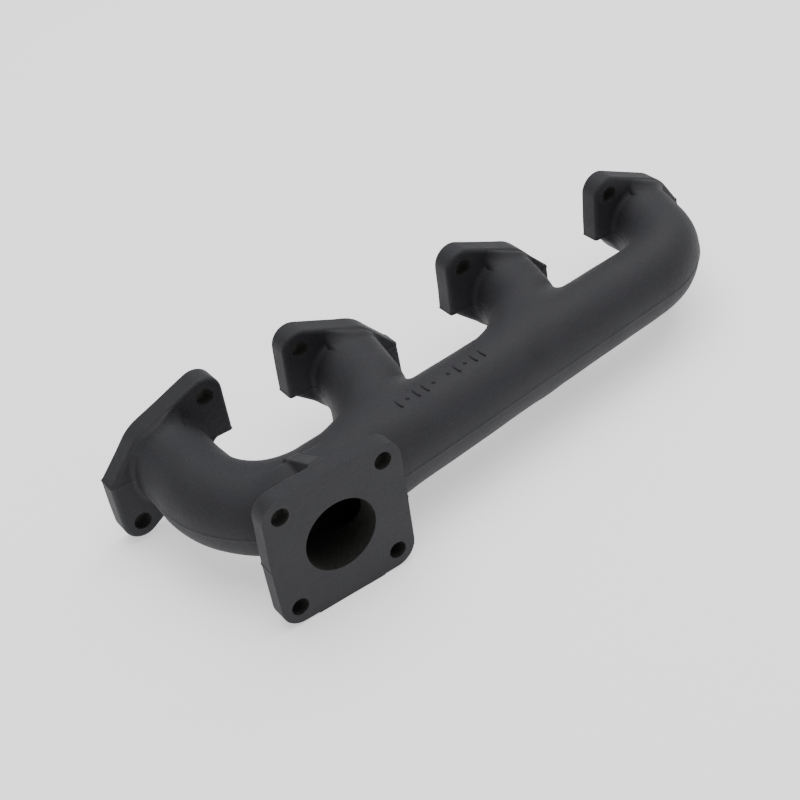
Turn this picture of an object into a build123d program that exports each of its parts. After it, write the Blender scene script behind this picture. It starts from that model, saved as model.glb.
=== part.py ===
from build123d import *
import os
from math import acos, atan, atan2, cos, degrees, hypot, radians, sin

# Cast-iron log exhaust manifold for a four-cylinder in-line engine.
# Origin: centre of port 1 on the machined engine face. +X runs along the ports towards port 4,
# +Z is up, and the engine is on the +Y side. The mould's parting plane is Z = 0.
# The casting is divided into its named regions by vertical seam planes, so each region is a
# closed solid that meets its neighbours face to face.

# Ports and their flanges (mm)
PORT_PITCH = 100.0
PORT_COUNT = 4
FLANGE_THICK = 11.0
BOLT_X = 23.0
BOLT_Z = 25.0
BOLT_HOLE_R = 4.5
LOBE_R = 9.8
FLANGE_SIDE = 33.3
# Shoulder radius and corner of the upper and lower halves, and a side of their own for some
FLANGE_HALVES = {
    1: ((24.8, FLANGE_SIDE), (18.0, 25.5)),
    2: ((23.5, 31.8), (20.3, 31.0, 31.8)),
    3: ((23.5, 31.8), (20.3, 31.0, 31.8)),
    4: ((22.8, 27.4), (20.3, 31.0, 27.4)),
}
FLANGE_EDGE_R = 1.5

# Cast flare at the foot of each runner, cut back beside the bolt holes to make room for the nuts
ROOT_R = 22.5
ROOT_LENGTH = 5.0
SEAT_R = 13.0
SEAT_DEPTH = 14.0

# Extra radius of the gas openings at the engine face, for misalignment with the cylinder head
PORT_MARGIN = 0.5

# Gallery: a round tube that tapers away from the outlet and slants towards the engine
WALL = 4.7
GALLERY_X = 80.0
GALLERY_Y = -76.1
GALLERY_SLOPE = 0.1004
GALLERY_R_START = 22.6
GALLERY_R_END = 19.9

# Elbows that join the gallery to ports 1 and 4
ELBOW_1_X = -1.1
ELBOW_1_R = 40.2
RUNNER_1_R = 18.4
ELBOW_4_X = 297.6
ELBOW_4_R = 47.0
RUNNER_4_R = 18.6

# Middle branches: a straight foot, a bend towards the outlet and a straight end in the gallery
BRANCHES = {
    2: {"x": 100.8, "straight": 8.3, "bend": 86.0, "turn": 46.0, "end": 4.0, "r": 19.6, "r_end": 20.4},
    3: {"x": 201.4, "straight": 12.0, "bend": 48.0, "turn": 46.0, "end": 24.0, "r": 19.0, "r_end": 19.4},
}

# Outlet flange, its neck and the rib behind it
OUTLET_X = 30.4
OUTLET_Y = -110.5
OUTLET_THICK = 10.0
OUTLET_SIDE = 72.4
OUTLET_CORNER_R = 11.0
OUTLET_EDGE_R = 1.2
OUTLET_SPACING = 53.0
OUTLET_HOLE_R = 4.4
OUTLET_BORE_R = 18.2
NECK_R = 24.0
RIB_WIDTH = 7.0
RIB_BACK = (-76.0, 22.6)
RIB_ROOT = 5.0

# Seams between the regions
ELBOW_1_SEAM = 40.0
SEAM_X = (60.0, 142.0, 238.0)
BRANCH_SEAM = 22.8
REACH = 65.0

# Raised casting marks on the gallery: plain bars and dots in two groups
MARK_GROUPS = ((88.2, "|.||."), (119.0, ".|.||"))
MARK_STEP = 5.4
MARK_BAR = (1.6, 6.5)
MARK_DOT_R = 1.4
MARK_HEIGHT = 0.7
MARK_ROOT = 1.0
MARK_TILT = 5.0


def gallery_y(x):
    """Where the gallery's axis line lies in plan."""
    return GALLERY_Y + (x - GALLERY_X) * GALLERY_SLOPE


slope_angle = degrees(atan(GALLERY_SLOPE))
along = Vector(cos(radians(slope_angle)), sin(radians(slope_angle)))
across = Vector(-along.Y, along.X)


def elbow_centre(x, radius):
    """Centre of a bend that is tangent to the gallery's axis line."""
    return Vector(x, gallery_y(x) + radius / along.X)


elbow_1_centre = elbow_centre(ELBOW_1_X + ELBOW_1_R, ELBOW_1_R)
elbow_4_centre = elbow_centre(ELBOW_4_X - ELBOW_4_R, ELBOW_4_R)
gallery_start = elbow_1_centre - across * ELBOW_1_R
gallery_end = elbow_4_centre - across * ELBOW_4_R


def port_x(number):
    """Position of a port along the engine, counted from 1."""
    return (number - 1) * PORT_PITCH


def gallery_r(x):
    """Outer radius of the gallery at a place along it."""
    share = (x - gallery_start.X) / (gallery_end.X - gallery_start.X)
    return GALLERY_R_START + (GALLERY_R_END - GALLERY_R_START) * share


def beside_gallery(x, offset):
    """Point in plan at a distance from the gallery's axis, opposite a place along it."""
    point = Vector(x, gallery_y(x)) + across * offset
    return (point.X, point.Y)


def section(point, direction, radius):
    """Round cross-section of a tube at a point of its axis."""
    with BuildSketch(Plane(origin=point, x_dir=(0, 0, 1), z_dir=direction)) as ring:
        Circle(radius)
    return ring.sketch


def elbow_1_path():
    """Axis of elbow 1, from the engine face to the start of the straight gallery."""
    with BuildLine() as path:
        foot = Line((ELBOW_1_X, 0), (ELBOW_1_X, elbow_1_centre.Y))
        JernArc(foot @ 1, (0, -1), ELBOW_1_R, 90 + slope_angle)
    return path.line


def elbow_4_path():
    """Axis of elbow 4, from the end of the straight gallery to the engine face."""
    with BuildLine() as path:
        bend = JernArc(gallery_end, along, ELBOW_4_R, 90 - slope_angle)
        Line(bend @ 1, (ELBOW_4_X, 0))
    return path.line


def branch_path(branch):
    """Axis of a middle branch, from the engine face into the gallery."""
    with BuildLine() as path:
        foot = Line((branch["x"], 0), (branch["x"], -branch["straight"]))
        bend = JernArc(foot @ 1, (0, -1), branch["bend"], -branch["turn"])
        Line(bend @ 1, bend @ 1 + (bend % 1) * branch["end"])
    return path.line


def tube(path, radius_start, radius_end):
    """Round bar along a path, tapering evenly between its two radii."""
    first = section(path @ 0, path % 0, radius_start)
    last = section(path @ 1, path % 1, radius_end)
    with BuildPart() as bar:
        sweep(sections=[first, last], path=path, multisection=True)
    return bar.part


def straight_gallery(inset):
    """Straight length of the gallery as a tapering bar, reduced by an inset."""
    first = section(gallery_start, along, gallery_r(gallery_start.X) - inset)
    last = section(gallery_end, along, gallery_r(gallery_end.X) - inset)
    with BuildPart() as bar:
        loft(sections=[first, last])
    return bar.part


def bar_to_flange(radius, near, far):
    """Round bar along Y at the outlet, between two distances in front of the engine face."""
    with BuildPart() as bar:
        with BuildSketch(Plane.XZ.offset(near)):
            with Locations((OUTLET_X, 0)):
                Circle(radius)
        extrude(amount=far - near)
    return bar.part


def tubes(inset):
    """All the lengths of tube of the manifold, reduced by an inset."""
    lengths = [
        tube(elbow_1_path(), RUNNER_1_R - inset, GALLERY_R_START - inset),
        straight_gallery(inset),
        tube(elbow_4_path(), GALLERY_R_END - inset, RUNNER_4_R - inset),
    ]
    for branch in BRANCHES.values():
        lengths.append(tube(branch_path(branch), branch["r"] - inset, branch["r_end"] - inset))
    return lengths


def plan_prism(*points):
    """Tall block over a polygon in plan, which keeps one region of the casting."""
    with BuildPart() as block:
        with BuildSketch(Plane.XY.offset(-REACH)):
            with BuildLine():
                Polyline(*points, close=True)
            make_face()
        extrude(amount=2 * REACH)
    return block.part


def flange_half(shoulder, corner, side=FLANGE_SIDE):
    """Upper half of a port flange's outline: side, bolt lobe, top edge, shoulder and slope."""
    span = hypot(BOLT_X, BOLT_Z)
    edge = atan2(-BOLT_Z, BOLT_X) + acos((LOBE_R - shoulder) / span)
    slope = acos(shoulder / corner)

    def on_lobe(angle):
        return (-BOLT_X + LOBE_R * cos(angle), BOLT_Z + LOBE_R * sin(angle))

    def on_shoulder(angle):
        return (shoulder * cos(angle), shoulder * sin(angle))

    with BuildSketch() as half:
        with BuildLine():
            Line((-side, 0), on_lobe(radians(180)))
            ThreePointArc(on_lobe(radians(180)), on_lobe((radians(180) + edge) / 2), on_lobe(edge))
            Line(on_lobe(edge), on_shoulder(edge))
            ThreePointArc(on_shoulder(edge), on_shoulder((edge + slope) / 2), on_shoulder(slope))
            Line(on_shoulder(slope), (corner, 0))
            Line((corner, 0), (-side, 0))
        make_face()
    return half.sketch


def bolt_places(number):
    """The two bolt holes of a port flange; the first flange is the mirror image of the rest."""
    hand = -1 if number == 1 else 1
    x = port_x(number)
    return (x - hand * BOLT_X, BOLT_Z), (x + hand * BOLT_X, -BOLT_Z)


def port_flange(number):
    """Flange that bolts to the engine around one port."""
    upper, lower = (flange_half(*half) for half in FLANGE_HALVES[number])
    if number == 1:
        upper = mirror(upper, about=Plane.YZ)
        lower = mirror(lower, about=Plane.YZ)
    with BuildPart() as flange:
        with BuildSketch(Plane.XZ):
            with Locations((port_x(number), 0)):
                add(upper)
                add(lower, rotation=180)
        extrude(amount=FLANGE_THICK)
        front = flange.faces().sort_by(Axis.Y)[0]
        fillet(front.outer_wire().edges(), FLANGE_EDGE_R)
        add(passages.part, mode=Mode.SUBTRACT)
        with BuildSketch(Plane.XZ):
            with Locations(*bolt_places(number)):
                Circle(BOLT_HOLE_R)
        extrude(amount=FLANGE_THICK, mode=Mode.SUBTRACT)
    return flange


def root(number, runner_x, runner_r):
    """Cast flare where a runner grows out of its port flange."""
    with BuildPart() as flare:
        with BuildSketch(Plane.XZ.offset(FLANGE_THICK)):
            with Locations((port_x(number), 0)):
                Circle(ROOT_R)
        with BuildSketch(Plane.XZ.offset(FLANGE_THICK + ROOT_LENGTH)):
            with Locations((runner_x, 0)):
                Circle(runner_r)
        loft()
    return flare.part


def region(outline):
    """The hollow casting inside one region, with the nut seats and the holes cut away."""
    with BuildPart() as piece:
        add(skin.part)
        add(outline, mode=Mode.INTERSECT)
        add(passages.part, mode=Mode.SUBTRACT)
        add(seats.part, mode=Mode.SUBTRACT)
    return piece


def write(builder, label):
    """Label a finished region and write it out."""
    builder.part.label = label
    export_step(builder.part, f"parts/{label}.step")


os.makedirs("parts", exist_ok=True)

behind_plate = OUTLET_Y + OUTLET_THICK
front = -FLANGE_THICK
runner_feet = {1: (ELBOW_1_X, RUNNER_1_R), 4: (ELBOW_4_X, RUNNER_4_R)}
for number, branch in BRANCHES.items():
    runner_feet[number] = (branch["x"], branch["r"])

# Outside of the whole casting between its flanges, before it is hollowed
neck = bar_to_flange(NECK_R, -gallery_y(OUTLET_X), -behind_plate)
roots = [root(number, x, radius) for number, (x, radius) in runner_feet.items()]
outer_tubes = tubes(0)
with BuildPart() as skin:
    add(outer_tubes + roots)
    add(neck)

# Gas passages through the whole manifold
bore = bar_to_flange(OUTLET_BORE_R, -gallery_y(OUTLET_X), -OUTLET_Y)
inner_tubes = tubes(WALL)
with BuildPart() as passages:
    add(inner_tubes)
    with BuildSketch(Plane.XZ):
        for x, radius in runner_feet.values():
            with Locations((x, 0)):
                Circle(radius - WALL + PORT_MARGIN)
    extrude(amount=FLANGE_THICK)
    add(bore)

# Room for the nuts in front of the port flanges
with BuildPart() as seats:
    with BuildSketch(Plane.XZ.offset(FLANGE_THICK)):
        for number in range(1, PORT_COUNT + 1):
            with Locations(*bolt_places(number)):
                Circle(SEAT_R)
    extrude(amount=SEAT_DEPTH)

# Regions in plan: a seam across elbow 1, seams across the gallery, and one beside it
hub = (elbow_1_centre.X, elbow_1_centre.Y)
rim = (hub[0] - REACH * cos(radians(ELBOW_1_SEAM)), hub[1] - REACH * sin(radians(ELBOW_1_SEAM)))
far_end = PORT_PITCH * PORT_COUNT
regions = {
    "branch_1": [hub, rim, (-REACH, rim[1]), (-REACH, front), (hub[0], front)],
    "outlet_chamber": [
        hub,
        rim,
        (rim[0], behind_plate),
        beside_gallery(SEAM_X[0], (behind_plate - gallery_y(SEAM_X[0])) / along.X),
        beside_gallery(SEAM_X[0], BRANCH_SEAM),
    ],
    "branch_4": [
        beside_gallery(SEAM_X[2], -REACH),
        (far_end, beside_gallery(SEAM_X[2], -REACH)[1]),
        (far_end, front),
        (SEAM_X[2], front),
        beside_gallery(SEAM_X[2], BRANCH_SEAM),
    ],
}
for number in BRANCHES:
    start, end = SEAM_X[number - 2 : number]
    inner = [beside_gallery(start, BRANCH_SEAM), beside_gallery(end, BRANCH_SEAM)]
    regions[f"branch_{number}"] = inner + [(end, front), (start, front)]
    outer = [beside_gallery(end, -REACH), beside_gallery(start, -REACH)]
    regions[f"gallery_{number - 1}"] = inner + outer

for number in range(1, PORT_COUNT + 1):
    write(port_flange(number), f"port_flange_{number}")
for label, corners in regions.items():
    write(region(plan_prism(*corners)), label)

# Square flange for the front pipe
with BuildPart() as outlet_flange:
    with BuildSketch(Plane.XZ.offset(-behind_plate)):
        with Locations((OUTLET_X, 0)):
            RectangleRounded(OUTLET_SIDE, OUTLET_SIDE, OUTLET_CORNER_R)
            Circle(OUTLET_BORE_R, mode=Mode.SUBTRACT)
            with GridLocations(OUTLET_SPACING, OUTLET_SPACING, 2, 2):
                Circle(OUTLET_HOLE_R, mode=Mode.SUBTRACT)
    extrude(amount=OUTLET_THICK)
    back = outlet_flange.faces().sort_by(Axis.Y)[-1]
    fillet(back.outer_wire().edges(), OUTLET_EDGE_R)
write(outlet_flange, "outlet_flange")

# Rib from the top of the outlet flange down onto the crown of the gallery
with BuildPart() as outlet_rib:
    with BuildSketch(Plane.YZ.offset(OUTLET_X - RIB_WIDTH / 2)):
        with BuildLine():
            Polyline(
                (behind_plate, OUTLET_SIDE / 2 - OUTLET_EDGE_R),
                RIB_BACK,
                (behind_plate, RIB_BACK[1] - RIB_ROOT),
                close=True,
            )
        make_face()
    extrude(amount=RIB_WIDTH)
    add(skin.part, mode=Mode.SUBTRACT)
write(outlet_rib, "outlet_rib")

# Raised casting marks along the crown of the gallery
with BuildPart() as casting_marks:
    for start, signs in MARK_GROUPS:
        for place, sign in enumerate(signs):
            x = start + place * MARK_STEP
            level = Plane(origin=(x, gallery_y(x), 0), x_dir=along, z_dir=(0, 0, 1))
            crown = level.rotated((MARK_TILT, 0, 0))
            with BuildSketch(crown.offset(gallery_r(x) - MARK_ROOT)):
                if sign == "|":
                    Rectangle(*MARK_BAR)
                else:
                    Circle(MARK_DOT_R)
            extrude(amount=MARK_ROOT + MARK_HEIGHT)
    add(skin.part, mode=Mode.SUBTRACT)
write(casting_marks, "casting_marks")
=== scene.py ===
from functools import lru_cache
from math import atan, cos, hypot, pi, radians, sin, tau

import bpy
import numpy as np
from mathutils import Matrix, Vector


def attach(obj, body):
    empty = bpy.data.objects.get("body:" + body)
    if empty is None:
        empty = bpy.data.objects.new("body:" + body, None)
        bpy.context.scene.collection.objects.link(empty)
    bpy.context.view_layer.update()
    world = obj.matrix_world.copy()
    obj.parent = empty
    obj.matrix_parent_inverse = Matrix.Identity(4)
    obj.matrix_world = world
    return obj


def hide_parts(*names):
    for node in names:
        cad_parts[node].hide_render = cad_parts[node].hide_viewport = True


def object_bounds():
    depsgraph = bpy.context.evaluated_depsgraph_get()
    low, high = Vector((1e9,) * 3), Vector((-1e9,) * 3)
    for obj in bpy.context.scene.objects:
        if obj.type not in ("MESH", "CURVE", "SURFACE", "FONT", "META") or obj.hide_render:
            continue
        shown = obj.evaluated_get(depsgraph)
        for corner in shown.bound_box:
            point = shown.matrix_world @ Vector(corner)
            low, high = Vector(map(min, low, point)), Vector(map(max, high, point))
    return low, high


bl_info = {
    "name": "Cast-iron exhaust manifold",
    "version": (1, 0, 0),
    "blender": (4, 5, 0),
    "location": "View3D > Sidebar > Manifold",
    "description": "Casts, machines and finishes a log exhaust manifold around its packed frame",
    "category": "Add Mesh",
}

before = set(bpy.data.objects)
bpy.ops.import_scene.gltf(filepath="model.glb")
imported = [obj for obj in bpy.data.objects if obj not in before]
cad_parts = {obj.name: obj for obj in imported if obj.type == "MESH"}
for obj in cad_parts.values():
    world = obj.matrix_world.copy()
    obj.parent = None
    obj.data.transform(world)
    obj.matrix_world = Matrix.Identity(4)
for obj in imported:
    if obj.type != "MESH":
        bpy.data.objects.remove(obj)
cad_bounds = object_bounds()

MM = 0.001
BODY = "root"

# Where things are, in millimetres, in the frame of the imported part: X along the ports, Y towards
# the engine, Z up, with the mould's parting plane at Z = 0.
PORTS = {1: 0.0, 2: 100.0, 3: 200.0, 4: 300.0}
FLANGE_THICK = 11.0
BOLT_X, BOLT_Z = 23.0, 25.0
BOLT_HOLE_R = 4.5
LOBE_R = 9.8
FLANGE_SIDE = 33.3
# Shoulder radius and corner of each flange's upper and lower half, and a side of their own for some
FLANGE_HALVES = {
    1: ((24.8, FLANGE_SIDE), (18.0, 25.5)),
    2: ((23.5, 31.8), (20.3, 31.0, 31.8)),
    3: ((23.5, 31.8), (20.3, 31.0, 31.8)),
    4: ((22.8, 27.4), (20.3, 31.0, 27.4)),
}
# Rounding of the corners of a port flange's outline
CORNER = 0.8
# Room for a nut and a spanner in front of the port flanges, and the rounding of its rim
SEAT_R, SEAT_DEPTH, SEAT_RIM = 13.8, 14.0, 2.0

GALLERY_X, GALLERY_Y, GALLERY_SLOPE = 80.0, -76.1, 0.1004
GALLERY_R_START, GALLERY_R_END = 22.6, 19.9
ELBOW_1_X, ELBOW_1_R, RUNNER_1_R = -1.1, 40.2, 18.4
ELBOW_4_X, ELBOW_4_R, RUNNER_4_R = 297.6, 47.0, 18.6
BRANCHES = {
    2: {"x": 100.8, "straight": 8.3, "bend": 86.0, "turn": 46.0, "end": 4.0, "r": 19.6, "r_end": 20.4},
    3: {"x": 201.4, "straight": 12.0, "bend": 48.0, "turn": 46.0, "end": 24.0, "r": 19.0, "r_end": 19.4},
}
RUNNER_FEET = {1: (ELBOW_1_X, RUNNER_1_R), 4: (ELBOW_4_X, RUNNER_4_R)}
RUNNER_FEET.update({number: (branch["x"], branch["r"]) for number, branch in BRANCHES.items()})
PORT_MARGIN = 0.5
# The runners are oval at the port flanges: taller by this much above and below, up to ROOT_Y
ROOT_RISE, ROOT_Y = 2.2, -30.0
# The flare between runner and flange stays this far inside the flange's outline
FLARE_INSET = 0.7
# Fillets where two passages meet, and where the passages open into the outlet bore
PASSAGE_FILLET, BORE_FILLET = 3.0, 1.5

OUTLET_X, OUTLET_Y, OUTLET_THICK = 30.4, -110.5, 10.0
OUTLET_SIDE, OUTLET_CORNER_R = 72.4, 11.0
OUTLET_SPACING, OUTLET_HOLE_R, OUTLET_BORE_R = 53.0, 4.4, 18.2
NECK_R = 24.0
PLATE_BACK = OUTLET_Y + OUTLET_THICK
# The neck and the rib start this far inside the outlet flange
PLATE_ROOT = 4.0
OUTLET_DRAFT = radians(0.8)

# The rib's top line, from the outlet flange to the gallery, with its width and edge rounding there
RIB_TOP = ((PLATE_BACK, 36.2), (-76.0, 24.0))
RIB_WIDTH = (7.6, 7.0)
RIB_EDGE, RIB_FILLET, RIB_LEAN = 0.8, 1.5, 0.05

# Casting marks on the gallery's crown: plain bars and dots in two groups, from a place along X
MARK_GROUPS = ((88.2, "|.||."), (119.0, ".|.||"))
MARK_OFFSET = -1.9
# Height of the points that are dropped onto the gallery to place the marks, and how far they may drop
MARK_START, MARK_DROP = 40.0, 100.0

# Half-width of the fin on the parting plane
FLASH_WIDTH = 0.55
# Machining stock cast onto the faces that are milled off afterwards
STOCK = 3.0
# Seams stand this far clear of the flange faces, so that they cross the fillets and not the faces
SEAM_CLEAR = 0.6
BRANCH_SEAM = 22.8
GALLERY_SEAMS = (60.0, 142.0, 238.0)
ELBOW_SEAM = 40.0
# The rib's piece is what lies in a block above this height, this wide to each side, back to this Y;
# the block that clears its place in the outlet chamber reaches further into the outlet flange
RIB_SEAM_Z, RIB_SEAM_SIDE, RIB_SEAM_Y = 27.2, 12.0, -66.0
RIB_SEAM_OVERLAP = 3.0
REACH = 70.0
FAR = 1000.0
# Box around the casting with its machining stock
CASTING_X, CASTING_Z = (-38.0, 338.0), 40.0
CASTING_Y = (OUTLET_Y - STOCK - 6.0, STOCK + 4.0)
# A port flange changes the shape only this far to each side and in front of its face, and the
# outlet flange only this far to each side and in front of this Y
PORT_ZONE_SIDE, PORT_ZONE_DEPTH = 55.0, 25.0
OUTLET_ZONE_SIDE, OUTLET_ZONE_Y = 60.0, -60.0
# How near a vertex lies to a passage wall, a drilled hole or the skin to count as on it
ON_WALL, ON_HOLE, ON_SKIN = 0.15, 0.05, 0.12

slope = atan(GALLERY_SLOPE)
ALONG = np.array([cos(slope), sin(slope)])
ACROSS = np.array([-sin(slope), cos(slope)])


def linear(code):
    """sRGB hex colour as the linear colour that the shaders use."""
    parts = [int(code[i : i + 2], 16) / 255 for i in (1, 3, 5)]
    return [c / 12.92 if c <= 0.04045 else ((c + 0.055) / 1.055) ** 2.4 for c in parts]


class CastingSettings(bpy.types.PropertyGroup):
    """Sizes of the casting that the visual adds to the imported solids."""

    wall: bpy.props.FloatProperty(
        name="Wall", description="Thickness of the tube walls", default=4.7 * MM, min=2 * MM, unit="LENGTH"
    )
    fillet: bpy.props.FloatProperty(
        name="Fillet",
        description="Radius where branches run into the gallery",
        default=7 * MM,
        unit="LENGTH",
    )
    flange_fillet: bpy.props.FloatProperty(
        name="Flange fillet", description="Radius above and below a runner", default=9 * MM, unit="LENGTH"
    )
    side_fillet: bpy.props.FloatProperty(
        name="Side fillet", description="Radius beside a runner", default=3 * MM, unit="LENGTH"
    )
    outlet_fillet: bpy.props.FloatProperty(
        name="Outlet fillet", description="Radius behind the outlet flange", default=5 * MM, unit="LENGTH"
    )
    edge: bpy.props.FloatProperty(
        name="Edge radius", description="Rounding of the cast edges", default=2.2 * MM, unit="LENGTH"
    )
    unevenness: bpy.props.FloatProperty(
        name="Unevenness",
        description="Height of the slow waves in the skin",
        default=0.12 * MM,
        unit="LENGTH",
    )
    flash: bpy.props.FloatProperty(
        name="Flash",
        description="Height of the fin left at the parting plane",
        default=0.35 * MM,
        unit="LENGTH",
    )
    cell: bpy.props.FloatProperty(
        name="Mesh cell", description="Spacing of the skin's vertices", default=0.8 * MM, unit="LENGTH"
    )


class MarkSettings(bpy.types.PropertyGroup):
    """Raised casting marks on the gallery: plain bars and dots."""

    height: bpy.props.FloatProperty(
        name="Height", description="How far the marks stand proud", default=0.8 * MM, unit="LENGTH"
    )
    length: bpy.props.FloatProperty(
        name="Bar length", description="Length of a bar", default=6.5 * MM, unit="LENGTH"
    )
    width: bpy.props.FloatProperty(
        name="Bar width", description="Width of a bar, and of a dot", default=2.0 * MM, unit="LENGTH"
    )
    pitch: bpy.props.FloatProperty(
        name="Pitch", description="Distance from mark to mark", default=5.4 * MM, unit="LENGTH"
    )


class FinishSettings(bpy.types.PropertyGroup):
    """Colours of the finish and of the stage."""

    coating: bpy.props.FloatVectorProperty(
        name="Coating", description="Dark grey coating", subtype="COLOR", default=linear("#27272b")
    )
    worn: bpy.props.FloatVectorProperty(
        name="Worn grains",
        description="Tops of the sand grains",
        subtype="COLOR",
        default=linear("#38383d"),
    )
    # Colour of the passages and drilled holes: painted shade, for the little light that reaches inside them
    scale: bpy.props.FloatVectorProperty(
        name="Scale",
        description="Dark scale in the passages and holes",
        subtype="COLOR",
        default=linear("#2e2e2c"),
    )
    floor: bpy.props.FloatVectorProperty(
        name="Floor", description="Floor of the stage", subtype="COLOR", default=linear("#f0f0f0")
    )


# The casting's shape as a distance field in millimetres: negative inside the metal


def gallery_y(x):
    """Where the gallery's axis line lies in plan."""
    return GALLERY_Y + (x - GALLERY_X) * GALLERY_SLOPE


def elbow_centre(x, radius):
    """Centre of a bend that is tangent to the gallery's axis line."""
    return np.array([x, gallery_y(x) + radius / ALONG[0]])


def beside_gallery(x, offset):
    """Point in plan at a distance from the gallery's axis, opposite a place along it."""
    return np.array([x, gallery_y(x)]) + ACROSS * offset


ELBOW_1_CENTRE = elbow_centre(ELBOW_1_X + ELBOW_1_R, ELBOW_1_R)
ELBOW_4_CENTRE = elbow_centre(ELBOW_4_X - ELBOW_4_R, ELBOW_4_R)
GALLERY_START = ELBOW_1_CENTRE - ACROSS * ELBOW_1_R
GALLERY_END = ELBOW_4_CENTRE - ACROSS * ELBOW_4_R


def straight(start, end, r_start, r_end):
    """A straight length of tube in plan, with the radius at each end."""
    return "line", np.array(start, float), np.array(end, float), r_start, r_end


def bend(centre, radius, start, end, r_start, r_end):
    """A curved length of tube in plan, between two angles in radians."""
    return "arc", np.array(centre, float), (radius, start, end), r_start, r_end


def spine():
    """Lengths of tube from port 1 along the gallery to port 4."""
    tangent = slope - pi / 2
    x1, y1 = ELBOW_1_X, ELBOW_1_CENTRE[1]
    x4, y4 = ELBOW_4_X, ELBOW_4_CENTRE[1]
    middle_1 = (RUNNER_1_R + GALLERY_R_START) / 2
    return [
        straight((x1, STOCK), (x1, y1), RUNNER_1_R, middle_1),
        bend(ELBOW_1_CENTRE, ELBOW_1_R, -pi, tangent, middle_1, GALLERY_R_START),
        straight(GALLERY_START, GALLERY_END, GALLERY_R_START, GALLERY_R_END),
        bend(ELBOW_4_CENTRE, ELBOW_4_R, tangent, 0, GALLERY_R_END, RUNNER_4_R),
        straight((x4, y4), (x4, STOCK), RUNNER_4_R, RUNNER_4_R),
    ]


def branch_lengths(x, straight_length, radius, turn, end, r_start, r_end):
    """Lengths of tube of a middle branch, from the engine face into the gallery."""
    turn = radians(turn)
    centre = np.array([x - radius, -straight_length])
    corner = centre + radius * np.array([cos(turn), -sin(turn)])
    tip = corner + end * np.array([-sin(turn), -cos(turn)])
    return [
        straight((x, STOCK), (x, -straight_length), r_start, r_start),
        bend(centre, radius, 0, -turn, r_start, r_end),
        straight(corner, tip, r_end, r_end),
    ]


def tube(p, lengths, inset=0.0):
    """Distance to a chain of tube lengths, reduced by an inset and taller at the port flanges."""
    nearest = np.full(len(p), FAR, np.float32)
    share = ((p[:, 1] - ROOT_Y) / (-FLANGE_THICK - ROOT_Y)).clip(0, 1)
    rise = 0 if inset else ROOT_RISE * share * share * (3 - 2 * share)
    height = np.maximum(np.abs(p[:, 2]) - rise, 0)
    for kind, first, second, r_start, r_end in lengths:
        if kind == "line":
            step = second - first
            share = ((p[:, :2] - first) @ step / (step @ step)).clip(0, 1)
            off = p[:, :2] - first - share[:, None] * step
        else:
            radius, start, end = second
            middle, half = (start + end) / 2, (end - start) / 2
            away = p[:, :2] - first
            turn = (np.arctan2(away[:, 1], away[:, 0]) - middle + pi) % tau - pi
            turn = turn.clip(-abs(half), abs(half))
            share = 0.5 + turn / (2 * half)
            off = away - radius * np.stack([np.cos(middle + turn), np.sin(middle + turn)], 1)
        reach = np.sqrt(off[:, 0] ** 2 + off[:, 1] ** 2 + height ** 2)
        nearest = np.minimum(nearest, reach - (r_start + (r_end - r_start) * share - inset))
    return nearest


def joined(a, b, radius):
    """Union of two shapes with a fillet between them."""
    u, v = np.maximum(radius - a, 0), np.maximum(radius - b, 0)
    return np.maximum(radius, np.minimum(a, b)) - np.sqrt(u * u + v * v)


def cut(a, b, radius):
    """First shape less the second, with a small rounding at the rim."""
    u, v = np.maximum(radius + a, 0), np.maximum(radius - b, 0)
    return np.minimum(-radius, np.maximum(a, -b)) + np.sqrt(u * u + v * v)


def cylinder_y(p, x, z, radius):
    """Distance to an endless round bar along Y."""
    return np.hypot(p[:, 0] - x, p[:, 2] - z) - radius


def outline(p, corners):
    """Distance in the X-Z plane to a closed outline."""
    x, z = p[:, 0], p[:, 2]
    nearest = np.full(len(p), FAR * FAR, np.float32)
    inside = np.zeros(len(p), bool)
    for (ax, az), (bx, bz) in zip(corners, np.roll(corners, -1, axis=0)):
        ex, ez = bx - ax, bz - az
        share = (((x - ax) * ex + (z - az) * ez) / (ex * ex + ez * ez)).clip(0, 1)
        nearest = np.minimum(nearest, (x - ax - share * ex) ** 2 + (z - az - share * ez) ** 2)
        if az != bz:
            inside ^= ((az > z) != (bz > z)) & (x < ex * (z - az) / ez + ax)
    return np.where(inside, -np.sqrt(nearest), np.sqrt(nearest))


def slab(p, flat, low, high, edge):
    """An outline given thickness along Y between two faces, with rounded edges."""
    middle, half = (low + high) / 2, (high - low) / 2
    across = np.abs(p[:, 1] - middle) - half + edge
    flat = flat + edge
    outside = np.hypot(np.maximum(flat, 0), np.maximum(across, 0))
    return outside + np.minimum(np.maximum(flat, across), 0) - edge


def flange_half(shoulder, corner, side=FLANGE_SIDE):
    """Upper half of a port flange's outline, drawn in by the rounding of its corners."""
    span = hypot(BOLT_X, BOLT_Z)
    edge = np.arctan2(-BOLT_Z, BOLT_X) + np.arccos((LOBE_R - shoulder) / span)
    fall = np.arccos(shoulder / corner)
    points = [(-side + CORNER, 0)]
    for angle in np.linspace(pi, edge, 13):
        points.append((-BOLT_X + (LOBE_R - CORNER) * cos(angle), BOLT_Z + (LOBE_R - CORNER) * sin(angle)))
    for angle in np.linspace(edge, fall, 9):
        points.append(((shoulder - CORNER) * cos(angle), (shoulder - CORNER) * sin(angle)))
    points.append(((shoulder - CORNER) / cos(fall), 0))
    return np.array(points)


def port_outline(p, number):
    """Distance in the X-Z plane to the outline of a port flange."""
    local = p - np.array([PORTS[number], 0, 0], np.float32)
    if number == 1:
        local = local * np.array([-1, 1, 1], np.float32)
    upper, lower = FLANGE_HALVES[number]
    whole = np.concatenate([flange_half(*upper), -flange_half(*lower)])
    return outline(local, whole) - CORNER


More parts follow.
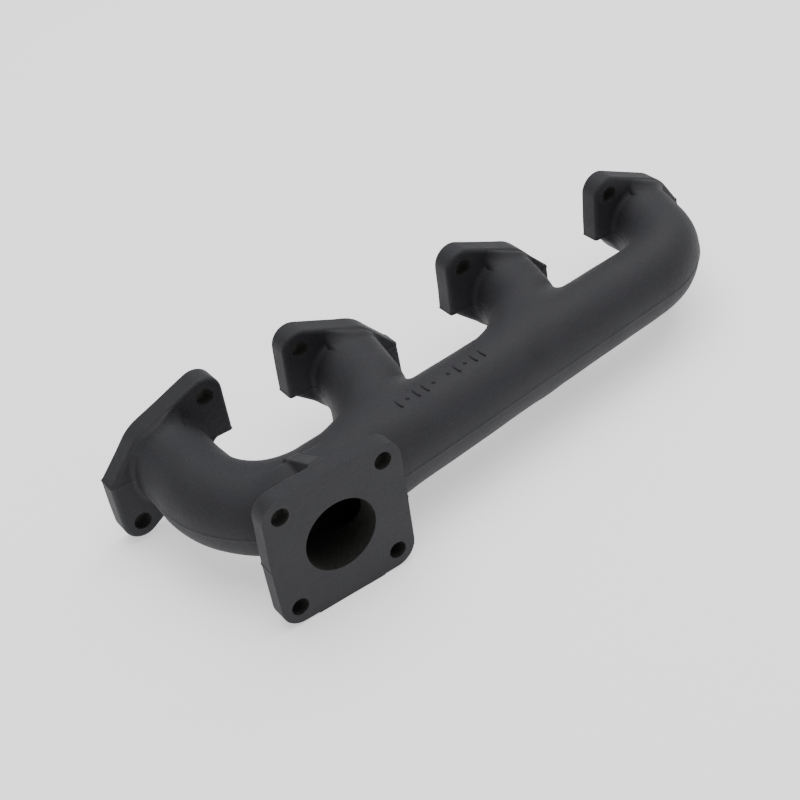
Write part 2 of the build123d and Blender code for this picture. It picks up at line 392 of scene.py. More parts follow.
def bolt_places(number):
    """X and Z of the two bolt holes of a port flange; the first flange is the mirror image."""
    hand = -1 if number == 1 else 1
    x = PORTS[number]
    return (x - hand * BOLT_X, BOLT_Z), (x + hand * BOLT_X, -BOLT_Z)


def outlet_plate(p, edge):
    """Distance to the square outlet flange with its machining stock, drafted from the parting plane."""
    x, z = np.abs(p[:, 0] - OUTLET_X), np.abs(p[:, 2])
    half = OUTLET_SIDE / 2
    flat = np.hypot(np.maximum(x - half + OUTLET_CORNER_R, 0), np.maximum(z - half + OUTLET_CORNER_R, 0))
    inner = np.minimum(np.maximum(x - half + OUTLET_CORNER_R, z - half + OUTLET_CORNER_R), 0)
    flat = flat + inner - OUTLET_CORNER_R + OUTLET_DRAFT * z * (x > half / 2)
    return slab(p, flat, OUTLET_Y - STOCK - edge, PLATE_BACK, edge)


def rib(p):
    """Distance to the rib that slopes from the outlet flange's top onto the gallery."""
    (y0, z0), (y1, z1) = RIB_TOP
    length = hypot(y1 - y0, z1 - z0)
    rise = ((p[:, 1] - y0) * (z0 - z1) + (p[:, 2] - z0) * (y1 - y0)) / length
    share = ((p[:, 1] - y0) / (y1 - y0)).clip(0, 1)
    lean = RIB_LEAN * np.maximum(-rise, 0)
    side = np.abs(p[:, 0] - OUTLET_X) - (RIB_WIDTH[0] + (RIB_WIDTH[1] - RIB_WIDTH[0]) * share) / 2 - lean
    body = cut(rise, -side, RIB_EDGE)
    ends = np.maximum(PLATE_BACK - PLATE_ROOT - p[:, 1], p[:, 1] - y1 - 1)
    return np.maximum(np.maximum(body, ends), np.maximum(-p[:, 2], p[:, 2] - z0 + RIB_EDGE))


@lru_cache(maxsize=1)
def waves():
    """Directions, lengths and phases of the slow waves in a hand-made mould."""
    rng = np.random.default_rng(4)
    directions = rng.normal(size=(9, 3))
    directions /= np.linalg.norm(directions, axis=1)[:, None]
    return directions * (tau / rng.uniform(14, 48, 9))[:, None], rng.uniform(0, tau, 9)


def unevenness(p):
    """Slow waves over the casting, about 1 high at their crests."""
    directions, phases = waves()
    return np.sin(p @ directions.T.astype(np.float32) + phases.astype(np.float32)).sum(1) / 3


def flange_end(p, body, number, sizes):
    """A runner's end with its port flange, the flare between them and the room for the nuts."""
    flat = port_outline(p, number)
    plate = slab(p, flat, -FLANGE_THICK, STOCK + sizes["edge"], sizes["edge"])
    upright = np.abs(p[:, 2]) / np.maximum(np.hypot(p[:, 0] - PORTS[number], p[:, 2]), 1)
    fillet = sizes["side_fillet"] + (sizes["flange_fillet"] - sizes["side_fillet"]) * upright**3
    flare = cut(joined(body, plate, fillet), -flat - FLARE_INSET, FLARE_INSET)
    for bolt_x, bolt_z in bolt_places(number):
        level = np.clip(p[:, 2], min(bolt_z, 0), max(bolt_z, 0))
        seat = np.hypot(p[:, 0] - bolt_x, p[:, 2] - level) - SEAT_R
        seat = np.maximum(seat, np.abs(p[:, 1] + FLANGE_THICK + SEAT_DEPTH / 2) - SEAT_DEPTH / 2)
        flare = cut(flare, seat, SEAT_RIM)
    return np.minimum(flare, joined(body, plate, sizes["side_fillet"]))


def outside(p, sizes):
    """Distance to the casting's outer skin, before it is hollowed."""
    shape = tube(p, spine())
    for branch in BRANCHES.values():
        shape = joined(shape, tube(p, branch_lengths(*branch.values())), sizes["fillet"])
    neck = np.maximum(cylinder_y(p, OUTLET_X, 0, NECK_R), p[:, 1] - gallery_y(OUTLET_X))
    neck = np.maximum(neck, PLATE_BACK - PLATE_ROOT - p[:, 1])
    shape = joined(shape, neck, sizes["fillet"])
    # Each flange changes the shape only near itself, so it is worked out only there
    for number, x in PORTS.items():
        here = (p[:, 1] > -FLANGE_THICK - PORT_ZONE_DEPTH) & (np.abs(p[:, 0] - x) < PORT_ZONE_SIDE)
        if here.any():
            shape[here] = flange_end(p[here], shape[here], number, sizes)
    here = (p[:, 1] < OUTLET_ZONE_Y) & (np.abs(p[:, 0] - OUTLET_X) < OUTLET_ZONE_SIDE)
    if here.any():
        q = p[here]
        body = joined(shape[here], outlet_plate(q, sizes["edge"]), sizes["outlet_fillet"])
        shape[here] = joined(body, rib(q), RIB_FILLET)
    fin = sizes["flash"] * np.exp(-((p[:, 2] / FLASH_WIDTH) ** 2))
    shape = shape + sizes["unevenness"] * unevenness(p) - fin
    return np.maximum(shape, p[:, 1] - STOCK)


def passages(p, sizes):
    """Distance to the gas passages."""
    wall = sizes["wall"]
    shape = tube(p, spine(), wall)
    for branch in BRANCHES.values():
        shape = joined(shape, tube(p, branch_lengths(*branch.values()), wall), PASSAGE_FILLET)
    for x, radius in RUNNER_FEET.values():
        opening = cylinder_y(p, x, 0, radius - wall + PORT_MARGIN)
        shape = np.minimum(shape, np.maximum(opening, -FLANGE_THICK - p[:, 1]))
    bore = np.maximum(cylinder_y(p, OUTLET_X, 0, OUTLET_BORE_R), p[:, 1] - gallery_y(OUTLET_X))
    return joined(shape, bore, BORE_FILLET)


def casting(p, sizes):
    """Distance to the hollow casting."""
    p = np.asarray(p, np.float32)
    return np.maximum(outside(p, sizes), -passages(p, sizes))


def in_parts(function, p, sizes, size=400_000):
    """A field at many points, worked out a part at a time to save memory."""
    return np.concatenate([function(p[i : i + size], sizes) for i in range(0, len(p), size)])


def gradient(p, sizes, step=0.05):
    """Outward direction of the field at points near the surface."""
    slopes = []
    for axis in range(3):
        shift = np.zeros(3, np.float32)
        shift[axis] = step
        slopes.append(in_parts(casting, p + shift, sizes) - in_parts(casting, p - shift, sizes))
    slopes = np.stack(slopes, 1)
    return slopes / np.maximum(np.linalg.norm(slopes, axis=1), 1e-9)[:, None]


def sampled(low, high, cell, sizes):
    """The field on a grid: worked out in full only where the surface can be."""
    coarse = 5
    count = [int(np.ceil((b - a) / (cell * coarse))) for a, b in zip(low, high)]
    block = cell * coarse
    axes = [low[i] + (np.arange(count[i]) + 0.5) * block for i in range(3)]
    centres = np.stack(np.meshgrid(*axes, indexing="ij"), -1).reshape(-1, 3)
    rough = in_parts(casting, centres, sizes).reshape(count)
    values = rough
    for axis in range(3):
        values = np.repeat(values, coarse, axis=axis)
    near = np.argwhere(np.abs(values) < block * 1.25)
    points = (np.array(low) + near * cell).astype(np.float32)
    values[tuple(near.T)] = in_parts(casting, points, sizes)
    return values


def surface_net(values, low, cell):
    """Quads over the zero surface of a grid, with one vertex in each cell that it crosses."""
    inside = values < 0
    size = np.array(values.shape) - 1
    corner = [(i, j, k) for i in (0, 1) for j in (0, 1) for k in (0, 1)]
    windows = [tuple(slice(c[a], c[a] + size[a]) for a in range(3)) for c in corner]
    total = sum(inside[window].astype(np.int8) for window in windows)
    cells = np.argwhere((total > 0) & (total < 8))
    index = np.full(size, -1, np.int64)
    index[tuple(cells.T)] = np.arange(len(cells))
    place = np.zeros((len(cells), 3))
    crossed = np.zeros(len(cells))
    for a in corner:
        for axis in range(3):
            if a[axis]:
                continue
            b = tuple(1 if i == axis else a[i] for i in range(3))
            va, vb = values[tuple((cells + a).T)], values[tuple((cells + b).T)]
            crosses = (va < 0) != (vb < 0)
            share = np.where(crosses, va / np.where(crosses, va - vb, 1), 0)
            place += crosses[:, None] * (np.array(a) + share[:, None] * (np.array(b) - np.array(a)))
            crossed += crosses
    vertices = np.array(low) + cell * (cells + place / crossed[:, None])
    quads = []
    for axis in range(3):
        u, v = [i for i in range(3) if i != axis]
        step = np.eye(3, dtype=int)
        ahead = np.roll(inside, -1, axis=axis)
        edges = np.argwhere(inside != ahead)
        keep = (edges[:, axis] < size[axis]) & (edges[:, u] > 0) & (edges[:, v] > 0)
        keep &= (edges[:, u] < size[u]) & (edges[:, v] < size[v])
        edges = edges[keep]
        ring = [edges - step[u] - step[v], edges - step[v], edges, edges - step[u]]
        quad = np.stack([index[tuple(r.T)] for r in ring], 1)
        flip = inside[tuple(edges.T)] != (axis == 1)
        quad[~flip] = quad[~flip][:, ::-1]
        quads.append(quad)
    return vertices, np.concatenate(quads)


def settings_in_mm():
    """The casting's settings as plain numbers in millimetres."""
    group = bpy.context.scene.manifold_casting
    return {key: getattr(group, key) / MM for key in CastingSettings.__annotations__}


@lru_cache(maxsize=1)
def raw_casting():
    """The casting as it leaves the mould, as an object in millimetres."""
    sizes = settings_in_mm()
    cell = sizes["cell"]
    # Half a cell off the parting plane, so that the fin's crest falls between two layers
    bottom = -(np.ceil(CASTING_Z / cell) - 0.5) * cell
    low = np.array([CASTING_X[0], CASTING_Y[0], bottom])
    high = np.array([CASTING_X[1], CASTING_Y[1], CASTING_Z])
    values = sampled(low, high, cell, sizes)
    vertices, quads = surface_net(values, low, cell)
    # Newton steps, a little short of full length so that they don't overshoot at creases
    for _ in range(3):
        distance = in_parts(casting, vertices, sizes)
        pull = np.clip(distance, -cell, cell)[:, None] * gradient(vertices, sizes)
        vertices = vertices - 0.9 * pull
    return mesh_object("raw casting", vertices, quads)


def mesh_object(name, vertices, faces):
    """An object from arrays of points and faces."""
    mesh = bpy.data.meshes.new(name)
    mesh.from_pydata([tuple(v) for v in vertices], [], [tuple(f) for f in faces])
    mesh.validate()
    made = bpy.data.objects.new(name, mesh)
    bpy.context.scene.collection.objects.link(made)
    return made


def prism(name, corners, low=-REACH, high=REACH):
    """A block over a polygon in plan."""
    corners = [tuple(map(float, c)) for c in corners]
    area = sum(a[0] * b[1] - a[1] * b[0] for a, b in zip(corners, corners[1:] + corners[:1]))
    if area < 0:
        corners = corners[::-1]
    count = len(corners)
    vertices = [(x, y, low) for x, y in corners] + [(x, y, high) for x, y in corners]
    faces = [tuple(reversed(range(count))), tuple(range(count, 2 * count))]
    faces += [(i, (i + 1) % count, (i + 1) % count + count, i + count) for i in range(count)]
    return mesh_object(name, vertices, faces)


def drill(name, x, z, radius, low, high, sides=96):
    """A round bar along Y to cut a hole with."""
    angles = [tau * i / sides for i in range(sides)]
    ring = [(x + radius * cos(a), z + radius * sin(a)) for a in angles]
    vertices = [(a, low, b) for a, b in ring] + [(a, high, b) for a, b in ring]
    faces = [tuple(range(sides)), tuple(reversed(range(sides, 2 * sides)))]
    faces += [(i + sides, (i + 1) % sides + sides, (i + 1) % sides, i) for i in range(sides)]
    return mesh_object(name, vertices, faces)


def apply_boolean(target, operation, tool):
    """Applies one boolean cut to an object and removes the tool."""
    modifier = target.modifiers.new("cut", "BOOLEAN")
    modifier.operation = operation
    modifier.object = tool
    modifier.solver = "MANIFOLD"
    bpy.context.view_layer.update()
    result = bpy.data.meshes.new_from_object(target.evaluated_get(bpy.context.evaluated_depsgraph_get()))
    target.modifiers.remove(modifier)
    target.data = result
    bpy.data.objects.remove(tool)


def region(name, corners, low=-REACH, high=REACH):
    """The part of the raw casting inside a block over a polygon in plan."""
    raw = raw_casting()
    piece = raw.copy()
    bpy.context.scene.collection.objects.link(piece)
    piece.name = name
    apply_boolean(piece, "INTERSECT", prism(name + " block", corners, low, high))
    if not piece.data.polygons:
        raise RuntimeError(f"the region {name} came out empty")
    return piece


def bored(places, sizes):
    """Which points lie on the wall of a gas passage or of a drilled hole."""
    walls = np.abs(in_parts(passages, places, sizes)) < ON_WALL
    half = OUTLET_SPACING / 2
    at_ports = places[:, 1] > -FLANGE_THICK - 1
    at_outlet = places[:, 1] < PLATE_BACK + 1
    holes = [(x, z, BOLT_HOLE_R, at_ports) for number in PORTS for x, z in bolt_places(number)]
    holes += [(OUTLET_X + x, z, OUTLET_HOLE_R, at_outlet) for x in (-half, half) for z in (-half, half)]
    for x, z, radius, near in holes:
        walls |= near & (np.abs(cylinder_y(places, x, z, radius)) < ON_HOLE)
    return walls


def finish_piece(piece, node):
    """Sets the normals and the finish of a cut region, puts it in metres and hands it over."""
    mesh = piece.data
    sizes = settings_in_mm()
    count = len(mesh.vertices)
    places = np.zeros(count * 3, np.float32)
    mesh.vertices.foreach_get("co", places)
    places = places.reshape(-1, 3)
    outward = gradient(places, sizes)
    on_skin = np.abs(in_parts(casting, places, sizes)) < ON_SKIN
    normals = np.zeros(len(mesh.polygons) * 3)
    mesh.polygons.foreach_get("normal", normals)
    normals = normals.reshape(-1, 3)
    totals = np.zeros(len(mesh.polygons), int)
    mesh.polygons.foreach_get("loop_total", totals)
    corners = np.zeros(len(mesh.loops), int)
    mesh.loops.foreach_get("vertex_index", corners)
    owner = np.repeat(np.arange(len(totals)), totals)
    aligned = (outward[corners] * normals[owner]).sum(1) > 0.7
    good = aligned & on_skin[corners]
    skin = np.bincount(owner, good, len(totals)) == totals
    split = np.where(skin[owner][:, None], outward[corners], normals[owner])
    mesh.transform(Matrix.Scale(MM, 4))
    mesh.shade_smooth()
    mesh.normals_split_custom_set([tuple(n) for n in split])
    mesh.materials.clear()
    mesh.materials.append(coated_iron())
    mesh.materials.append(painted_shade_iron())
    # Faces on passage walls and drilled holes take the second material, whose colour is painted shade
    inner = np.bincount(owner, bored(places, sizes)[corners], len(totals)) == totals
    inner &= np.abs(normals[:, 1]) < 0.999
    mesh.polygons.foreach_set("material_index", inner.astype(np.int32))
    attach(piece, BODY)
    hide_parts(node)


def add_node(tree, kind, inputs=None, **settings):
    """Adds a node with its settings, and sets or links its inputs."""
    node = tree.nodes.new(kind)
    for key, value in settings.items():
        setattr(node, key, value)
    for key, value in (inputs or {}).items():
        socket = node.inputs[key]
        if isinstance(value, bpy.types.NodeSocket):
            tree.links.new(value, socket)
        else:
            socket.default_value = value
    return node


@lru_cache(maxsize=1)
def coated_iron():
    """Grey iron from a sand mould under a thin dark coating.

    The sand leaves grains 0.8 mm wide and dimples 3.2 mm wide, softened by the coating; the coating
    is satin, patchy over about 22 mm, and a little lighter on the tops of the grains.
    """
    colours = bpy.context.scene.manifold_finish
    material = bpy.data.materials.new("sand-cast grey iron, dark coating")
    material.use_nodes = True
    tree = material.node_tree
    tree.nodes.clear()
    place = add_node(tree, "ShaderNodeTexCoord").outputs["Object"]
    grain = add_node(
        tree,
        "ShaderNodeTexNoise",
        {"Vector": place, "Scale": 1 / (0.8 * MM), "Detail": 2.0, "Roughness": 0.5},
    )
    dimples = add_node(
        tree,
        "ShaderNodeTexNoise",
        {"Vector": place, "Scale": 1 / (3.2 * MM), "Detail": 3.0, "Roughness": 0.5},
    )
    patches = add_node(
        tree,
        "ShaderNodeTexNoise",
        {"Vector": place, "Scale": 1 / (22 * MM), "Detail": 4.0, "Roughness": 0.55},
    )
    worn = add_node(
        tree,
        "ShaderNodeMapRange",
        {"Value": grain.outputs["Fac"], "From Min": 0.5, "From Max": 0.8, "To Min": 0.0, "To Max": 0.45},
    )
    colour = add_node(
        tree,
        "ShaderNodeMix",
        {6: (*colours.coating, 1), 7: (*colours.worn, 1), 0: worn.outputs["Result"]},
        data_type="RGBA",
    )
    patchy = add_node(
        tree,
        "ShaderNodeMapRange",
        {"Value": patches.outputs["Fac"], "From Min": 0.3, "From Max": 0.7, "To Min": 0.86, "To Max": 1.14},
    )
    shade = add_node(
        tree,
        "ShaderNodeMix",
        {0: 1.0, 6: colour.outputs[2], 7: patchy.outputs["Result"]},
        data_type="RGBA",
        blend_type="MULTIPLY",
    )
    rough = add_node(
        tree,
        "ShaderNodeMapRange",
        {"Value": patches.outputs["Fac"], "From Min": 0.3, "From Max": 0.7, "To Min": 0.62, "To Max": 0.74},
    )
    skin = add_node(
        tree, "ShaderNodeBump", {"Height": dimples.outputs["Fac"], "Distance": 0.5 * MM, "Strength": 0.5}
    )
    bump = add_node(
        tree,
        "ShaderNodeBump",
        {
            "Height": grain.outputs["Fac"],
            "Distance": 0.12 * MM,
            "Strength": 0.6,
            "Normal": skin.outputs["Normal"],
        },
    )
    shader = add_node(
        tree,
        "ShaderNodeBsdfPrincipled",
        {
            "Base Color": shade.outputs[2],
            "Roughness": rough.outputs["Result"],
            "Specular IOR Level": 0.35,
            "Normal": bump.outputs["Normal"],
        },
    )
    add_node(tree, "ShaderNodeOutputMaterial", {"Surface": shader.outputs[0]})
    return material


@lru_cache(maxsize=1)
def painted_shade_iron():
    """Iron in the passages and the drilled holes: dull and nearly black, a painted shade for the little
    light that reaches inside.
    """
    colours = bpy.context.scene.manifold_finish
    material = bpy.data.materials.new("grey iron, painted passage shade")
    material.use_nodes = True
    tree = material.node_tree
    tree.nodes.clear()
    place = add_node(tree, "ShaderNodeTexCoord").outputs["Object"]
    scale = add_node(
        tree,
        "ShaderNodeTexNoise",
        {"Vector": place, "Scale": 1 / (1.5 * MM), "Detail": 4.0, "Roughness": 0.6},
    )
    shade = add_node(
        tree,
        "ShaderNodeMapRange",
        {"Value": scale.outputs["Fac"], "From Min": 0.3, "From Max": 0.7, "To Min": 0.7, "To Max": 1.3},
    )
    # Painted shade: the passage colour, mottled by the noise
    colour = add_node(
        tree,
        "ShaderNodeMix",
        {0: 1.0, 6: (*colours.scale, 1), 7: shade.outputs["Result"]},
        data_type="RGBA",
        blend_type="MULTIPLY",
    )
    bump = add_node(
        tree, "ShaderNodeBump", {"Height": scale.outputs["Fac"], "Distance": 0.3 * MM, "Strength": 0.6}
    )
    shader = add_node(
        tree,
        "ShaderNodeBsdfPrincipled",
        {
            "Base Color": colour.outputs[2],
            "Roughness": 0.85,
            "Specular IOR Level": 0.2,
            "Normal": bump.outputs["Normal"],
        },
    )
    add_node(tree, "ShaderNodeOutputMaterial", {"Surface": shader.outputs[0]})
    return material


class MANIFOLD_OT_port_flanges(bpy.types.Operator):
    """Makes the four port flanges, milled on the engine side and drilled"""

    bl_idname = "manifold.port_flanges"
    bl_label = "Port flanges"

    def execute(self, context):
        front = -FLANGE_THICK - SEAM_CLEAR
        for number, x in PORTS.items():
            name = f"port_flange_{number}"
            sides = ((x - 50, front), (x + 50, front), (x + 50, 0), (x - 50, 0))
            piece = region(name + "_casting", sides)
            for bolt_x, bolt_z in bolt_places(number):
                apply_boolean(piece, "DIFFERENCE", drill("drill", bolt_x, bolt_z, BOLT_HOLE_R, -40, 10))
            finish_piece(piece, name)
        return {"FINISHED"}


def plan_regions():
    """Corners in plan of the lengths between the flanges."""
    hub = ELBOW_1_CENTRE
    rim = hub - REACH * np.array([cos(radians(ELBOW_SEAM)), sin(radians(ELBOW_SEAM))])
    front = -FLANGE_THICK - SEAM_CLEAR
    back = PLATE_BACK + SEAM_CLEAR
    first, middle, last = GALLERY_SEAMS
    at_plate = beside_gallery(first, (back - gallery_y(first)) / ALONG[0])
    low = beside_gallery(last, -REACH)[1]
    shapes = {
        "branch_1": [hub, rim, (-REACH, rim[1]), (-REACH, front), (hub[0], front)],
        "outlet_chamber": [hub, rim, (rim[0], back), at_plate, beside_gallery(first, BRANCH_SEAM)],
        "branch_4": [
            beside_gallery(last, -REACH),
            (400, low),
            (400, front),
            (last, front),
            beside_gallery(last, BRANCH_SEAM),
        ],
    }
    for number, (start, end) in {2: (first, middle), 3: (middle, last)}.items():
        inner = [beside_gallery(start, BRANCH_SEAM), beside_gallery(end, BRANCH_SEAM)]
        shapes[f"branch_{number}"] = inner + [(end, front), (start, front)]
    return shapes


class MANIFOLD_OT_branches(bpy.types.Operator):
    """Makes the two end elbows and the two leaning branches between them"""

    bl_idname = "manifold.branches"
    bl_label = "Branches"

    def execute(self, context):
        shapes = plan_regions()
        for number in PORTS:
            name = f"branch_{number}"
            finish_piece(region(name + "_casting", shapes[name]), name)
        return {"FINISHED"}


class MANIFOLD_OT_gallery(bpy.types.Operator):
    """Makes the two straight lengths of the gallery and the outlet chamber"""

    bl_idname = "manifold.gallery"
    bl_label = "Gallery"

    def execute(self, context):
        first, middle, last = GALLERY_SEAMS
        back = PLATE_BACK + SEAM_CLEAR
        at_plate = beside_gallery(first, (back - gallery_y(first)) / ALONG[0])
        at_back = beside_gallery(middle, (back - gallery_y(middle)) / ALONG[0])
        near = [beside_gallery(first, BRANCH_SEAM), at_plate, at_back, beside_gallery(middle, BRANCH_SEAM)]
        finish_piece(region("gallery_1_casting", near), "gallery_1")
        far = [beside_gallery(x, -REACH) for x in (middle, last)]
        far += [beside_gallery(x, BRANCH_SEAM) for x in (last, middle)]
        finish_piece(region("gallery_2_casting", far), "gallery_2")
        chamber = region("outlet_chamber_casting", plan_regions()["outlet_chamber"])
        block = prism("rib block", rib_corners(RIB_SEAM_OVERLAP), RIB_SEAM_Z, REACH)
        apply_boolean(chamber, "DIFFERENCE", block)
        finish_piece(chamber, "outlet_chamber")
        return {"FINISHED"}


def rib_corners(overlap=0.0):
    """Corners in plan of the rib's piece, with an overlap into the outlet flange."""
    x0, x1 = OUTLET_X - RIB_SEAM_SIDE, OUTLET_X + RIB_SEAM_SIDE
    back = PLATE_BACK + SEAM_CLEAR - overlap
    return [(x0, back), (x1, back), (x1, RIB_SEAM_Y), (x0, RIB_SEAM_Y)]


class MANIFOLD_OT_outlet_rib(bpy.types.Operator):
    """Makes the rib between the outlet flange and the gallery"""

    bl_idname = "manifold.outlet_rib"
    bl_label = "Outlet rib"

    def execute(self, context):
        finish_piece(region("outlet_rib_casting", rib_corners(), RIB_SEAM_Z, REACH), "outlet_rib")
        return {"FINISHED"}


class MANIFOLD_OT_outlet_flange(bpy.types.Operator):
    """Makes the square outlet flange, milled on its face and drilled"""

    bl_idname = "manifold.outlet_flange"
    bl_label = "Outlet flange"

    def execute(self, context):
        back = PLATE_BACK + SEAM_CLEAR
        x0, x1 = OUTLET_X - 45, OUTLET_X + 45
        piece = region("outlet_flange_casting", [(x0, OUTLET_Y), (x1, OUTLET_Y), (x1, back), (x0, back)])
        half = OUTLET_SPACING / 2
        for x in (-half, half):
            for z in (-half, half):
                tool = drill("drill", OUTLET_X + x, z, OUTLET_HOLE_R, OUTLET_Y - 10, PLATE_BACK + 10)
                apply_boolean(piece, "DIFFERENCE", tool)
        finish_piece(piece, "outlet_flange")
        return {"FINISHED"}


def mark_line():
    """A line of points in metres above the gallery's crown, one for each mark."""
    pitch = bpy.context.scene.manifold_marks.pitch / MM
    points = []
    for start, signs in MARK_GROUPS:
        for place in range(len(signs)):
            x, y = beside_gallery(start + place * pitch, MARK_OFFSET)
            points.append((x * MM, y * MM, MARK_START * MM))
    made = mesh_object("mark points", points, [])
    dots = made.data.attributes.new("dot", "BOOLEAN", "POINT")
    for place, sign in enumerate("".join(signs for _, signs in MARK_GROUPS)):
        dots.data[place].value = sign == "."
    return made


def marks_tree():
    """Node tree that drops each point onto the gallery and raises a bar or a dot there."""
    tree = bpy.data.node_groups.new("casting marks", "GeometryNodeTree")
    ends = tree.interface
    ends.new_socket("Geometry", in_out="INPUT", socket_type="NodeSocketGeometry")
    ends.new_socket("Gallery", in_out="INPUT", socket_type="NodeSocketObject")
    for name in ("Height", "Length", "Width"):
        ends.new_socket(name, in_out="INPUT", socket_type="NodeSocketFloat").subtype = "DISTANCE"
    ends.new_socket("Material", in_out="INPUT", socket_type="NodeSocketMaterial")
    ends.new_socket("Geometry", in_out="OUTPUT", socket_type="NodeSocketGeometry")
    given = add_node(tree, "NodeGroupInput").outputs
    target = add_node(
        tree, "GeometryNodeObjectInfo", {"Object": given["Gallery"]}, transform_space="RELATIVE"
    )
    hit = add_node(
        tree,
        "GeometryNodeRaycast",
        {
            "Target Geometry": target.outputs["Geometry"],
            "Ray Direction": (0, 0, -1),
            "Ray Length": MARK_DROP * MM,
        },
    )
    seated = add_node(
        tree,
        "GeometryNodeSetPosition",
        {"Geometry": given["Geometry"], "Position": hit.outputs["Hit Position"]},
    )
    # A bar is a half-buried round bar with domed ends, and a dot is a half-buried ball
    half_width = add_node(tree, "ShaderNodeMath", {0: given["Width"], 1: 0.5}, operation="MULTIPLY")
    half_length = add_node(tree, "ShaderNodeMath", {0: given["Length"], 1: 0.5}, operation="MULTIPLY")
    ball = add_node(tree, "GeometryNodeMeshUVSphere", {"Segments": 24, "Rings": 16, "Radius": 1.0})
    smooth = add_node(tree, "GeometryNodeSetShadeSmooth", {"Geometry": ball.outputs["Mesh"]})
    bar_size = add_node(
        tree,
        "ShaderNodeCombineXYZ",
        {"X": half_width.outputs[0], "Y": half_length.outputs[0], "Z": given["Height"]},
    )
    dot_size = add_node(
        tree,
        "ShaderNodeCombineXYZ",
        {"X": half_width.outputs[0], "Y": half_width.outputs[0], "Z": given["Height"]},
    )
    is_dot = add_node(tree, "GeometryNodeInputNamedAttribute", {"Name": "dot"}, data_type="BOOLEAN")
    size = add_node(
        tree,
        "GeometryNodeSwitch",
        {"Switch": is_dot.outputs["Attribute"], "False": bar_size.outputs[0], "True": dot_size.outputs[0]},
        input_type="VECTOR",
    )
    placed = add_node(
        tree,
        "GeometryNodeInstanceOnPoints",
        {
            "Points": seated.outputs["Geometry"],
            "Instance": smooth.outputs["Geometry"],
            "Rotation": (0, 0, slope),
            "Scale": size.outputs["Output"],
        },
    )
    real = add_node(tree, "GeometryNodeRealizeInstances", {"Geometry": placed.outputs["Instances"]})
    finish = add_node(
        tree,
        "GeometryNodeSetMaterial",
        {"Geometry": real.outputs["Geometry"], "Material": given["Material"]},
    )
    add_node(tree, "NodeGroupOutput", {"Geometry": finish.outputs["Geometry"]})
    return tree


def grown(carrier, tree, name, values):
    """Runs a node tree on an object and keeps its result as a plain mesh object."""
    modifier = carrier.modifiers.new(name, "NODES")
    modifier.node_group = tree
    for item in tree.interface.items_tree:
        if item.in_out == "INPUT" and item.name in values:
            modifier[item.identifier] = values[item.name]
    bpy.context.view_layer.update()
    mesh = bpy.data.meshes.new_from_object(carrier.evaluated_get(bpy.context.evaluated_depsgraph_get()))
    carrier.modifiers.remove(modifier)
    bpy.data.objects.remove(carrier)
    made = bpy.data.objects.new(name, mesh)
    bpy.context.scene.collection.objects.link(made)
    return made


class MANIFOLD_OT_casting_marks(bpy.types.Operator):
    """Raises plain bars and dots on the crown of the gallery"""

    bl_idname = "manifold.casting_marks"
    bl_label = "Casting marks"

    def execute(self, context):
        marks = context.scene.manifold_marks
        values = {
            "Gallery": bpy.data.objects["gallery_1_casting"],
            "Height": marks.height,
            "Length": marks.length,
            "Width": marks.width,
            "Material": coated_iron(),
        }
        piece = grown(mark_line(), marks_tree(), "casting_marks_raised", values)
        if not piece.data.polygons:
            raise RuntimeError("the casting marks missed the gallery")
        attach(piece, BODY)
        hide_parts("casting_marks")
        return {"FINISHED"}


CAMERA_PLACE = (-0.179313, -0.539622, 0.427345)
CAMERA_TURN, CAMERA_HEIGHT, CAMERA_ROLL = radians(-30.16), radians(37.05), radians(-8.87)
CAMERA_LENS, CAMERA_SENSOR = 65.755, 36.0
# Name, place in metres, width in metres and power in watts of each softbox
SOFTBOXES = (
    ("soft top light", (0.3, 0.1, 1.6), 1.8, 32),
    ("soft side light", (1.4, 0.6, 1.0), 1.0, 4),
)
AIM = Vector((0.15, -0.05, 0))
# Width of the floor and its gap below the part in metres, and how bright it and the surroundings are
FLOOR_SIZE, FLOOR_GAP = 12, 0.0004
FLOOR_GLOW, WORLD_LIGHT = 0.7, 0.45


def camera_axes():
    """The camera's right, up and backward directions."""
    turn, height, roll = CAMERA_TURN, CAMERA_HEIGHT, CAMERA_ROLL
    back = Vector((sin(turn) * cos(height), -cos(turn) * cos(height), sin(height)))
    right = (-back).cross(Vector((0, 0, 1))).normalized()
    up = right.cross(-back)
    return cos(roll) * right + sin(roll) * up, -sin(roll) * right + cos(roll) * up, back


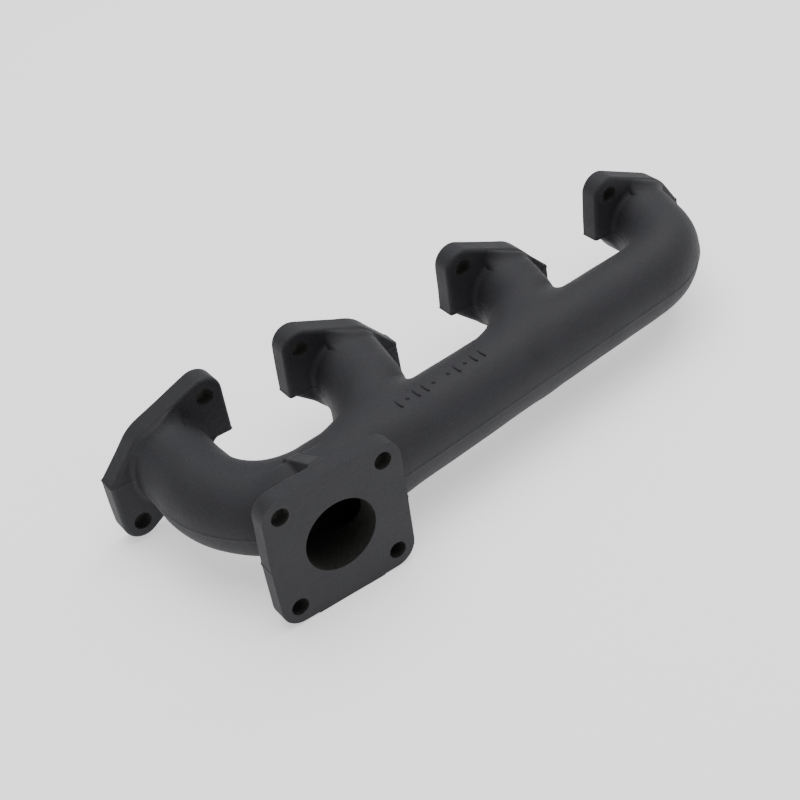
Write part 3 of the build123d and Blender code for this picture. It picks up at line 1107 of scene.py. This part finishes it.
class MANIFOLD_OT_stage(bpy.types.Operator):
    """Lays the floor, the soft lights and the camera"""

    bl_idname = "manifold.stage"
    bl_label = "Stage"

    def execute(self, context):
        raw = raw_casting()
        bpy.data.objects.remove(raw)
        colours = context.scene.manifold_finish
        bpy.ops.mesh.primitive_plane_add(size=FLOOR_SIZE, location=(0, 0, 0))
        floor = context.object
        floor.name = "floor"
        floor.data.transform(Matrix.Translation((AIM.x, AIM.y, cad_bounds[0][2] - FLOOR_GAP)))
        paper = bpy.data.materials.new("matt white paper")
        paper.use_nodes = True
        shader = paper.node_tree.nodes["Principled BSDF"]
        shader.inputs["Base Color"].default_value = (*colours.floor, 1)
        shader.inputs["Roughness"].default_value = 0.95
        shader.inputs["Specular IOR Level"].default_value = 0.1
        shader.inputs["Emission Color"].default_value = (1, 1, 1, 1)
        shader.inputs["Emission Strength"].default_value = FLOOR_GLOW
        floor.data.materials.append(paper)
        world = bpy.data.worlds.new("studio")
        world.use_nodes = True
        world.node_tree.nodes["Background"].inputs["Color"].default_value = (1, 1, 1, 1)
        world.node_tree.nodes["Background"].inputs["Strength"].default_value = WORLD_LIGHT
        context.scene.world = world
        for name, place, size, power in SOFTBOXES:
            light = bpy.data.lights.new(name, "AREA")
            light.size = size
            light.energy = power
            lamp = bpy.data.objects.new(name, light)
            lamp.location = place
            lamp.rotation_euler = (AIM - Vector(place)).to_track_quat("-Z", "Y").to_euler()
            context.scene.collection.objects.link(lamp)
        data = bpy.data.cameras.new("camera")
        data.sensor_width = CAMERA_SENSOR
        data.lens = CAMERA_LENS
        camera = bpy.data.objects.new("camera", data)
        turned = Matrix(camera_axes()).transposed().to_4x4()
        camera.matrix_world = Matrix.Translation(CAMERA_PLACE) @ turned
        context.scene.collection.objects.link(camera)
        context.scene.camera = camera
        return {"FINISHED"}


class MANIFOLD_PT_panel(bpy.types.Panel):
    """Lists the steps that make the manifold"""

    bl_label = "Manifold"
    bl_space_type = "VIEW_3D"
    bl_region_type = "UI"
    bl_category = "Manifold"

    def draw(self, context):
        for name in GROUPS:
            group = getattr(context.scene, name)
            for key in group.__annotations__:
                self.layout.prop(group, key)
        for step in STEPS:
            self.layout.operator(step.bl_idname)


GROUPS = {
    "manifold_casting": CastingSettings,
    "manifold_marks": MarkSettings,
    "manifold_finish": FinishSettings,
}
STEPS = (
    MANIFOLD_OT_port_flanges,
    MANIFOLD_OT_branches,
    MANIFOLD_OT_gallery,
    MANIFOLD_OT_outlet_flange,
    MANIFOLD_OT_outlet_rib,
    MANIFOLD_OT_casting_marks,
    MANIFOLD_OT_stage,
)


def register():
    for item in (*GROUPS.values(), *STEPS, MANIFOLD_PT_panel):
        bpy.utils.register_class(item)
    for name, group in GROUPS.items():
        setattr(bpy.types.Scene, name, bpy.props.PointerProperty(type=group))


def unregister():
    for name in GROUPS:
        delattr(bpy.types.Scene, name)
    for item in (MANIFOLD_PT_panel, *STEPS, *reversed(GROUPS.values())):
        bpy.utils.unregister_class(item)


def main():
    register()
    for step in STEPS:
        module, name = step.bl_idname.split(".")
        getattr(getattr(bpy.ops, module), name)()


if __name__ == "__main__":
    main()
